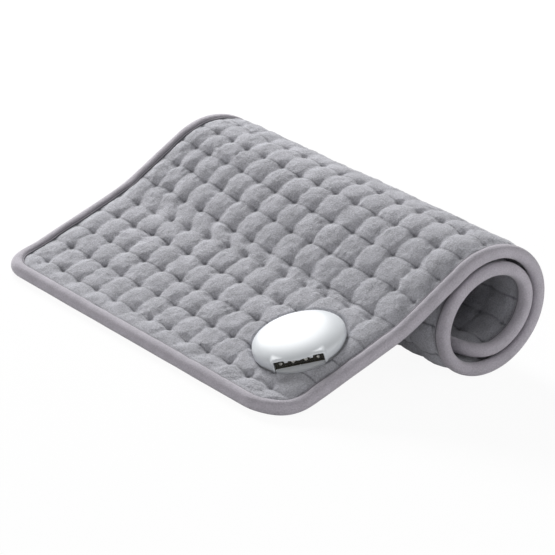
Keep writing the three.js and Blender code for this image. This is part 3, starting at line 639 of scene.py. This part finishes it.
def outlineStations(spacing):
    radius = padSize["cornerRadius"]
    half, length = padSize["width"] / 2, padSize["length"]
    stations = []

    def straight(start, end, inward):
        count = int(np.hypot(end[0] - start[0], end[1] - start[1]) / spacing)
        for k in range(count):
            share = k / count
            stations.append((start[0] + (end[0] - start[0]) * share,
                             start[1] + (end[1] - start[1]) * share, *inward))

    def corner(centre, firstAngle):
        count = int(radius * math.pi / 2 / spacing)
        for k in range(count):
            angle = firstAngle + k / count * math.pi / 2
            u, v = math.cos(angle), math.sin(angle)
            stations.append((centre[0] + radius * u, centre[1] + radius * v, -u, -v))

    straight((radius, -half), (length - radius, -half), (0, 1))
    corner((length - radius, radius - half), -math.pi / 2)
    straight((length, radius - half), (length, half - radius), (-1, 0))
    corner((length - radius, half - radius), 0)
    straight((length - radius, half), (radius, half), (0, -1))
    corner((radius, half - radius), math.pi / 2)
    straight((0, half - radius), (0, radius - half), (1, 0))
    corner((radius, radius - half), math.pi)
    return np.array(stations)


def loopNoise(seed, count, waves):
    values = np.random.default_rng(seed)
    turn = np.arange(count) / count * 2 * math.pi
    total = np.zeros(count)
    for wave in range(1, waves):
        total += values.normal() * np.sin(wave * turn + values.uniform(0, 2 * math.pi))
    return total / total.std()


def bindingSection():
    outer, inner = np.array(bindingSize["outer"]), np.array(bindingSize["inner"])
    mirror = np.array([1, -1])
    outside = np.concatenate([outer, (outer * mirror)[-2::-1]])
    inside = np.concatenate([inner * mirror, inner[-2::-1]])
    return outside, inside


def bindingPoints(stations, section):
    # The strip is a little uneven all round, and puckers at its thread
    size = bindingSize
    count = len(stations)
    fromFold, side = section[:, 0], np.sign(section[:, 1])
    rise = loopNoise(size["seed"], count, size["heightWaves"]) * size["waveHeight"]
    widen = loopNoise(size["seed"] + 1, count, size["widthWaves"]) * size["waveWidth"]
    pucker = loopNoise(size["seed"] + 2, count, size["puckerWaves"]) * size["pucker"]
    inwardShare = np.clip(fromFold / padSize["bindingWidth"], 0, 1)
    swell = np.sin(np.clip(fromFold / size["swellWidth"], 0, 1) * math.pi)
    atThread = np.exp(-((fromFold - size["puckerLine"]) / size["puckerReach"]) ** 2)
    depth = fromFold + widen[:, None] * inwardShare ** 2
    level = section[:, 1] + side * swell * rise[:, None] * size["swellShare"]
    level = level + side * atThread * pucker[:, None]
    along = stations[:, 0:1] + stations[:, 2:3] * depth
    across = stations[:, 1:2] + stations[:, 3:4] * depth
    points = bend(along, across, level)
    points[..., 2] = np.maximum(points[..., 2], 0)
    return points


def loopFaces(count, sides):
    faces = []
    for i in range(count):
        here, following = i * sides, (i + 1) % count * sides
        for j in range(sides):
            k = (j + 1) % sides
            faces.append([here + j, following + j, following + k, here + k])
    return faces


def runLengths(points):
    return np.concatenate([[0], np.cumsum(np.hypot(*np.diff(points, axis=0).T))])


def makeBinding():
    size = bindingSize
    stations = outlineStations(size["station"])
    outside, inside = bindingSection()
    section = np.concatenate([outside, inside])
    count, sides = len(stations), len(section)
    run, girth = runLengths(stations[:, :2]), runLengths(section)
    uv = np.stack(np.broadcast_arrays(run[:, None], girth[None]), -1) * mm
    faces = loopFaces(count, sides)
    piece = newPiece("edgeBinding", bindingPoints(stations, section), faces, uv)
    # The faces that close the loop and the section run on past the cloth's last points
    cloth = piece.data.uv_layers[0].data
    corners = np.zeros(count * sides * 4 * 2, np.float32)
    cloth.foreach_get("uv", corners)
    corners = corners.reshape(count, sides, 4, 2)
    corners[-1, :, 1:3, 0] = (run[-1] + size["station"]) * mm
    corners[:, -1, 2:, 1] = (girth[-1] + size["closing"]) * mm
    cloth.foreach_set("uv", corners.ravel())
    # Painted shade in the ditch at the binding's seam, together with the dark thread there
    threadAndDitchShade = np.exp(-((section[:, 0] - size["threadLine"]) / size["threadReach"]) ** 2)
    markCreases(piece, np.tile(threadAndDitchShade, count))
    outwardNormals(piece, size["mergeGap"])
    flatWidth = np.hypot(*np.diff(outside, axis=0).T).sum() * mm
    flatLength = run[-1] * mm
    log(f"binding: {count} stations, strip {flatWidth:.4f} x {flatLength:.3f}")
    return piece, flatWidth, flatLength


# Dock shell and the liner of its socket, in the dock's own frame until they are placed

shellSize = {
    "skirt": 4.3,
    "foot": 9.5,
    "rise": 6.0,
    "shoulder": 0.5,
    "slope": 0.08,
    "rings": 16,
    "topShare": 0.05,
    "cornerSegments": 24,
    "mergeGap": 0.01,
    "bodyBottom": -10.0,
    "hollowBottom": -12.0,
    "hollowInset": 1.5,
    "roof": 1.2,
    "clearance": 50.0,
    "clearanceBelow": 30.0,
    "voxel": 0.4,
    "smoothing": 0.5,
    "blend": 12,
    "soften": 2,
}

socketSize = {
    "half": 16.2,
    "floor": 5.0,
    "top": 12.0,
    "back": -14.0,
    "cutFront": -40.0,
    "cutBelow": 2.0,
    "noseBack": -12.1,
    "noseTop": 13.2,
    "noseBevel": 2.1,
    "noseSegments": 4,
    "toothShares": (-0.5, 0.0, 0.5),
    "toothWidth": 2.5,
    "toothDrop": 1.9,
    "toothDepth": 2.0,
    "toothSetBack": 0.1,
    "toothRoot": 0.8,
    "insertFront": -22.7,
    "linerSetBack": 2.6,
    "linerGap": 0.15,
    "linerLift": 0.02,
    "linerThickness": 0.25,
    "linerBevel": 0.06,
    "linerSegments": 2,
}


def startBlock(name, low, high):
    centre = [(a + b) / 2 for a, b in zip(low, high)]
    deselectAll()
    bpy.ops.mesh.primitive_cube_add(size=1, location=centre)
    piece = bpy.context.active_object
    piece.name = name
    piece.scale = [b - a for a, b in zip(low, high)]
    bpy.ops.object.transform_apply(location=True, rotation=True, scale=True)
    return piece


def placeOnPad(piece):
    piece.data.transform(Matrix.Diagonal((mm, mm, mm, 1)))
    piece.data.transform(dockFrame())


def ovalPlane(name, inset, level):
    # A square bevelled from corner to corner, with a profile that makes it the dock's oval
    deselectAll()
    bpy.ops.mesh.primitive_plane_add(size=1, location=(0, 0, level))
    piece = bpy.context.active_object
    piece.name = name
    halfX, halfY = dockSize["halfLength"] - inset, dockSize["halfDepth"] - inset
    piece.scale = (2 * halfX, 2 * halfY, 1)
    bpy.ops.object.transform_apply(location=True, rotation=True, scale=True)
    bpy.ops.object.mode_set(mode="EDIT")
    bpy.ops.mesh.select_all(action="SELECT")
    bpy.ops.mesh.bevel(offset_type="PERCENT", offset_pct=50, affect="VERTICES",
                       segments=shellSize["cornerSegments"],
                       profile=0.5 ** (2 / dockSize["fullness"]))
    bpy.ops.mesh.remove_doubles(threshold=shellSize["mergeGap"])
    bpy.ops.object.mode_set(mode="OBJECT")
    return piece


def domeSteps(drop):
    # The level and scale of each ring, up the straight rim and over the dome
    size = shellSize
    steps = [(size["foot"], 1.0)]
    for ring in range(1, size["rings"] + 1):
        angle = ring / size["rings"] * math.pi / 2
        steps.append((size["foot"] + (size["rise"] - drop) * math.sin(angle),
                      max(math.cos(angle) ** size["shoulder"], size["topShare"])))
    return steps


def leanToMouth(piece):
    # The moulding is taller at its mouth than at its back
    slope = shellSize["slope"]
    lean = Matrix.Identity(4)
    lean[2][1] = -slope
    lean[2][3] = slope * dockSize["mouthFace"]
    piece.data.transform(lean)


def domeBody(name, inset, bottom, drop):
    piece = ovalPlane(name, inset, bottom)
    bpy.ops.object.mode_set(mode="EDIT")
    bpy.ops.mesh.select_mode(type="FACE")
    bpy.ops.mesh.select_all(action="SELECT")
    level, scale = bottom, 1.0
    for nextLevel, nextScale in domeSteps(drop):
        lift = {"value": (0, 0, nextLevel - level)}
        bpy.ops.mesh.extrude_region_move(TRANSFORM_OT_translate=lift)
        ratio = nextScale / scale
        bpy.ops.transform.resize(value=(ratio, ratio, 1), center_override=(0, 0, nextLevel))
        level, scale = nextLevel, nextScale
    bpy.ops.mesh.select_all(action="SELECT")
    bpy.ops.mesh.normals_make_consistent(inside=False)
    bpy.ops.object.mode_set(mode="OBJECT")
    leanToMouth(piece)
    return piece


def addNose(body):
    size, half = socketSize, dockSize["noseHalf"]
    nose = startBlock("nose", (-half, dockSize["mouthFace"], 0),
                      (half, size["noseBack"], size["noseTop"]))
    applyModifier(nose, "BEVEL", width=size["noseBevel"], segments=size["noseSegments"],
                  limit_method="ANGLE")
    combine(body, nose, "UNION")


def cutSocket(body):
    size = socketSize
    mouth = startBlock("mouth",
                       (-size["half"], size["cutFront"], shellSize["skirt"] - size["cutBelow"]),
                       (size["half"], size["back"], size["top"]))
    combine(body, mouth, "DIFFERENCE")
    face, toothHalf = dockSize["mouthFace"], size["toothWidth"] / 2
    for share in size["toothShares"]:
        place = share * size["half"]
        low = (place - toothHalf, face + size["toothSetBack"], size["top"] - size["toothDrop"])
        high = (place + toothHalf, face + size["toothDepth"], size["top"] + size["toothRoot"])
        combine(body, startBlock("tooth", low, high), "UNION")


def dockShell():
    size = shellSize
    reach = size["clearance"]
    body = domeBody("dockShell", 0, size["bodyBottom"], 0)
    addNose(body)
    below = startBlock("below", (-reach, -reach, -size["clearanceBelow"]),
                       (reach, reach, size["skirt"]))
    combine(body, below, "DIFFERENCE")
    applyModifier(body, "REMESH", mode="VOXEL", voxel_size=size["voxel"])
    applyModifier(body, "SMOOTH", factor=size["smoothing"], iterations=size["blend"])
    hollow = domeBody("hollow", size["hollowInset"], size["hollowBottom"], size["roof"])
    combine(body, hollow, "DIFFERENCE")
    cutSocket(body)
    applyModifier(body, "REMESH", mode="VOXEL", voxel_size=size["voxel"],
                  use_smooth_shade=True)
    applyModifier(body, "SMOOTH", factor=size["smoothing"], iterations=size["soften"])
    placeOnPad(body)
    log(f"dock shell: {len(body.data.polygons)} faces")
    return body


def socketLiner():
    size = socketSize
    half = size["half"] - size["linerGap"]
    low = size["floor"] + size["linerLift"]
    liner = startBlock("socketLiner",
                       (-half, dockSize["mouthFace"] + size["linerSetBack"], low),
                       (half, size["insertFront"] - size["linerLift"],
                        low + size["linerThickness"]))
    applyModifier(liner, "BEVEL", width=size["linerBevel"], segments=size["linerSegments"],
                  limit_method="ANGLE")
    placeOnPad(liner)
    return liner


# Materials


class Finish:
    def __init__(self, name, color, roughness, **settings):
        self.material = bpy.data.materials.new(name)
        self.material.use_nodes = True
        self.nodes = self.material.node_tree.nodes
        self.links = self.material.node_tree.links
        self.shader = self.nodes["Principled BSDF"]
        self.shader.inputs["Base Color"].default_value = (*color, 1)
        self.shader.inputs["Roughness"].default_value = roughness
        for key, value in settings.items():
            self.shader.inputs[key].default_value = value

    def add(self, kind, **inputs):
        node = self.nodes.new(kind)
        for key, value in inputs.items():
            if key in node.inputs:
                node.inputs[key].default_value = value
            else:
                setattr(node, key, value)
        return node

    def join(self, start, end):
        self.links.new(start, end)


# Each noise is its scale, detail and roughness
pileSize = {
    "roughness": 0.95,
    "sheen": 0.25,
    "sheenRoughness": 0.5,
    "speckle": (900.0, 3.0, 0.7),
    # The patches are painted sheen, lighter and darker where the pile lies one way
    "patch": (70.0, 3.0, 0.6),
    "patchShare": 0.35,
    "wrinkle": (150.0, 4.0, 0.62),
    "wrinkleDepth": 0.0012,
    "pileDepth": 0.0009,
    "darkFrom": 0.33,
    "lightFrom": 0.67,
    "dark": 0.58,
    "light": 1.34,
    # Painted shade in the creases: how deep it goes and the colour it darkens towards
    "creaseShade": 0.75,
    "creaseShadeTint": (0.1, 0.1, 0.12),
}


def clothNoise(finish, scale, detail, roughness):
    place = finish.add("ShaderNodeTexCoord")
    noise = finish.add("ShaderNodeTexNoise", Scale=scale, Detail=detail, Roughness=roughness)
    finish.join(place.outputs["UV"], noise.inputs["Vector"])
    return noise.outputs["Fac"]


def shadePile(finish, color, nap, speckle, patch):
    # Light and dark fibres, in patches of painted sheen where the pile lies one way, and painted
    # shade in the creases
    size = pileSize

    def tone(change):
        return (*[min(value * (1 + (change - 1) * nap), 1) for value in color], 1)

    blend = finish.add("ShaderNodeMix", data_type="FLOAT")
    blend.inputs[0].default_value = size["patchShare"]
    finish.join(speckle, blend.inputs[2])
    finish.join(patch, blend.inputs[3])
    shade = finish.add("ShaderNodeValToRGB")
    dark, light = shade.color_ramp.elements
    dark.position, light.position = size["darkFrom"], size["lightFrom"]
    dark.color, light.color = tone(size["dark"]), tone(size["light"])
    finish.join(blend.outputs[0], shade.inputs["Fac"])
    # Painted shade: the crease attribute multiplies the colour darker in the creases
    crease = finish.add("ShaderNodeAttribute", attribute_name="crease")
    depth = finish.add("ShaderNodeMath", operation="MULTIPLY")
    depth.inputs[1].default_value = size["creaseShade"]
    finish.join(crease.outputs["Fac"], depth.inputs[0])
    darken = finish.add("ShaderNodeMix", data_type="RGBA", blend_type="MULTIPLY")
    darken.inputs[7].default_value = (*size["creaseShadeTint"], 1)
    finish.join(depth.outputs[0], darken.inputs[0])
    finish.join(shade.outputs["Color"], darken.inputs[6])
    finish.join(darken.outputs[2], finish.shader.inputs["Base Color"])


def plushFinish(name, color, nap=1.0):
    size = pileSize
    finish = Finish(name, color, size["roughness"], **{
        "Sheen Weight": size["sheen"], "Sheen Roughness": size["sheenRoughness"]})
    speckle, patch, wrinkle = (
        clothNoise(finish, *size[key]) for key in ("speckle", "patch", "wrinkle"))
    shadePile(finish, color, nap, speckle, patch)
    folds = finish.add("ShaderNodeBump", Strength=1.0, Distance=size["wrinkleDepth"] * nap)
    finish.join(wrinkle, folds.inputs["Height"])
    pile = finish.add("ShaderNodeBump", Strength=1.0, Distance=size["pileDepth"] * nap)
    finish.join(speckle, pile.inputs["Height"])
    finish.join(folds.outputs["Normal"], pile.inputs["Normal"])
    finish.join(pile.outputs["Normal"], finish.shader.inputs["Normal"])
    return finish.material


plasticSize = {
    "grain": 900.0,
    "detail": 2.0,
    "varietyShares": (0.85, 1.15),
    "bump": 0.2,
    "depth": 0.00002,
}
metalSize = {"grain": 2500.0, "detail": 2.0, "varietyShares": (0.7, 1.3)}


def varyRoughness(finish, roughness, size):
    place = finish.add("ShaderNodeTexCoord")
    noise = finish.add("ShaderNodeTexNoise", Scale=size["grain"], Detail=size["detail"])
    finish.join(place.outputs["Object"], noise.inputs["Vector"])
    low, high = (roughness * share for share in size["varietyShares"])
    vary = finish.add("ShaderNodeMapRange", **{"To Min": low, "To Max": high})
    finish.join(noise.outputs["Fac"], vary.inputs["Value"])
    finish.join(vary.outputs["Result"], finish.shader.inputs["Roughness"])
    return noise


def plasticFinish(name, color, roughness, shine=0.5):
    size = plasticSize
    finish = Finish(name, color, roughness, **{"Specular IOR Level": shine})
    noise = varyRoughness(finish, roughness, size)
    bump = finish.add("ShaderNodeBump", Strength=size["bump"], Distance=size["depth"])
    finish.join(noise.outputs["Fac"], bump.inputs["Height"])
    finish.join(bump.outputs["Normal"], finish.shader.inputs["Normal"])
    return finish.material


def metalFinish(name, color, roughness):
    finish = Finish(name, color, roughness, Metallic=1.0)
    varyRoughness(finish, roughness, metalSize)
    return finish.material


def dress(piece, material):
    piece.data.materials.clear()
    piece.data.materials.append(material)


finishes = {
    "plush": plushFinish("plush", (0.50, 0.50, 0.543)),
    # The reverse is the same plush as the top, painted darker as the shade inside the roll
    "shadedPlushReverse": plushFinish("shadedPlushReverse", (0.36, 0.36, 0.395)),
    "binding": plushFinish("bindingCloth", (0.475, 0.448, 0.497), nap=0.55),
    "shell": plasticFinish("whiteShell", (0.79, 0.82, 0.85), 0.4, shine=0.15),
    "base": plasticFinish("whiteBase", (0.80, 0.82, 0.84), 0.35),
    "gasket": plasticFinish("gasketFoam", (0.55, 0.55, 0.56), 0.8),
    "insert": plasticFinish("socketInsert", (0.06, 0.057, 0.045), 0.55),
    "board": plasticFinish("boardLaminate", (0.03, 0.14, 0.06), 0.5),
    "carrier": plasticFinish("carrierFelt", (0.75, 0.73, 0.68), 0.9),
    "wire": plasticFinish("wireJacket", (0.55, 0.42, 0.22), 0.5),
    "leadRed": plasticFinish("leadRed", (0.45, 0.03, 0.025), 0.45),
    "leadBlack": plasticFinish("leadBlack", (0.025, 0.025, 0.028), 0.45),
    "leadWhite": plasticFinish("leadWhite", (0.78, 0.77, 0.73), 0.45),
    "sensor": plasticFinish("sensorBody", (0.035, 0.035, 0.04), 0.5),
    "crimp": metalFinish("crimpMetal", (0.5, 0.36, 0.2), 0.35),
    "contact": metalFinish("contactMetal", (0.82, 0.80, 0.74), 0.28),
    "screw": metalFinish("screwMetal", (0.55, 0.56, 0.58), 0.3),
}

# Finishes by the start of a CAD node's name
nodeFinish = {
    "carrier_sheet": "carrier",
    "heating_wire": "wire",
    "heater_lead": "leadRed",
    "cutout_lead": "leadRed",
    "return_lead": "leadBlack",
    "sensor_lead": "leadWhite",
    "thermal_cutout": "sensor",
    "temperature_sensor": "sensor",
    "splice": "crimp",
    "dock_base": "base",
    "dock_back_plate": "base",
    "dock_gasket": "gasket",
    "dock_screw": "screw",
    "socket_insert": "insert",
    "circuit_board": "board",
    "contact_pin": "contact",
}
for name, node in nodes.items():
    for start, key in nodeFinish.items():
        if name.startswith(start):
            dress(node, finishes[key])
log("materials done")

# Pieces

topCover = quiltedCover("topCover", 1, quilting["cell"], quilting["seed"])
opening = domeBody("opening", dockSize["throatInset"], coverSize["openingBottom"], 0)
placeOnPad(opening)
combine(topCover, opening, "DIFFERENCE")
shadeSmooth(topCover)
reverseCover = quiltedCover("reverseCover", -1, coverSize["reverseCell"], coverSize["reverseSeed"])
binding, stripWidth, stripLength = makeBinding()
shell = dockShell()
for piece, cadNode, slot, key in (
    (topCover, "top_cover", "plush_top", "plush"),
    (reverseCover, "bottom_cover", "plush_reverse", "shadedPlushReverse"),
    (binding, "edge_binding", "binding", "binding"),
    (shell, "dock_cover", "dock_shell", "shell"),
):
    dress(piece, finishes[key])
    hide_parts(cadNode)
    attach(piece, "root")
liner = socketLiner()
dress(liner, finishes["insert"])
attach(liner, "root")
log("pieces done")

# Floor, light and camera

stageSize = {
    "floor": 12.0,
    "floorDrop": 0.0004,
    "floorColor": (0.93, 0.93, 0.93),
    "floorRoughness": 0.9,
    "shadowShare": 0.06,
    "world": 0.26,
    "lampAim": (0, 0, 0.03),
    "lamps": {
        "keyLight": {"place": (0.50, 1.66, 1.0), "size": 0.7, "power": 54},
        "fillLight": {"place": (-1.5, -1.05, 1.15), "size": 1.2, "power": 6.5},
        "sideLight": {"place": (1.0, -1.7, 0.5), "size": 0.8, "power": 9},
    },
}


def makeFloor():
    size = stageSize
    deselectAll()
    bpy.ops.mesh.primitive_plane_add(size=size["floor"], location=(0, 0, -size["floorDrop"]))
    floor = bpy.context.active_object
    floor.name = "floor"
    # The floor glows white where it is seen, and keeps a share of its shadow
    paper = Finish("floorPaper", size["floorColor"], size["floorRoughness"])
    path = paper.add("ShaderNodeLightPath")
    seen = path.outputs["Is Camera Ray"]
    for ray in ("Is Glossy Ray", "Is Transmission Ray"):
        either = paper.add("ShaderNodeMath", operation="MAXIMUM")
        paper.join(seen, either.inputs[0])
        paper.join(path.outputs[ray], either.inputs[1])
        seen = either.outputs[0]
    share = paper.add("ShaderNodeMath", operation="MULTIPLY")
    share.inputs[1].default_value = 1 - size["shadowShare"]
    paper.join(seen, share.inputs[0])
    glow = paper.add("ShaderNodeEmission", Strength=1.0)
    mixed = paper.add("ShaderNodeMixShader")
    paper.join(share.outputs[0], mixed.inputs[0])
    paper.join(paper.shader.outputs[0], mixed.inputs[1])
    paper.join(glow.outputs[0], mixed.inputs[2])
    paper.join(mixed.outputs[0], paper.nodes["Material Output"].inputs["Surface"])
    dress(floor, paper.material)


def makeWorld():
    # The backdrop that the camera sees doesn't light the object
    world = bpy.data.worlds.new("studio")
    scene.world = world
    world.use_nodes = True
    tree = world.node_tree
    soft = tree.nodes["Background"]
    soft.inputs["Color"].default_value = (1, 1, 1, 1)
    soft.inputs["Strength"].default_value = stageSize["world"]
    plain = tree.nodes.new("ShaderNodeBackground")
    plain.inputs["Strength"].default_value = 1.0
    path = tree.nodes.new("ShaderNodeLightPath")
    mixed = tree.nodes.new("ShaderNodeMixShader")
    tree.links.new(path.outputs["Is Camera Ray"], mixed.inputs[0])
    tree.links.new(soft.outputs[0], mixed.inputs[1])
    tree.links.new(plain.outputs[0], mixed.inputs[2])
    tree.links.new(mixed.outputs[0], tree.nodes["World Output"].inputs["Surface"])


def makeLamps():
    aim = Vector(stageSize["lampAim"])
    for name, lamp in stageSize["lamps"].items():
        data = bpy.data.lights.new(name, "AREA")
        data.shape = "SQUARE"
        data.size = lamp["size"]
        data.energy = lamp["power"]
        light = bpy.data.objects.new(name, data)
        scene.collection.objects.link(light)
        light.location = lamp["place"]
        towards = aim - Vector(lamp["place"])
        light.rotation_euler = towards.to_track_quat("-Z", "Y").to_euler()


cameraSize = {
    "place": (-1.20370, -1.39909, 0.69292),
    "azimuth": math.radians(-40.99),
    "elevation": math.radians(19.83),
    "roll": math.radians(6.05),
    "lens": 189.76,
    "sensor": 36.0,
}


def makeCamera():
    size = cameraSize
    az, el, roll = size["azimuth"], size["elevation"], size["roll"]
    back = Vector((math.sin(az) * math.cos(el), -math.cos(az) * math.cos(el), math.sin(el)))
    right = (-back).cross(Vector((0, 0, 1))).normalized()
    up = right.cross(-back)
    turnedRight = right * math.cos(roll) + up * math.sin(roll)
    turnedUp = up * math.cos(roll) - right * math.sin(roll)
    data = bpy.data.cameras.new("camera")
    data.lens = size["lens"]
    data.sensor_width = size["sensor"]
    camera = bpy.data.objects.new("camera", data)
    scene.collection.objects.link(camera)
    turn = Matrix((turnedRight, turnedUp, back)).transposed().to_4x4()
    camera.matrix_world = Matrix.Translation(size["place"]) @ turn
    scene.camera = camera


makeFloor()
makeWorld()
makeLamps()
makeCamera()
scene.view_settings.view_transform = "Standard"
log("stage done")
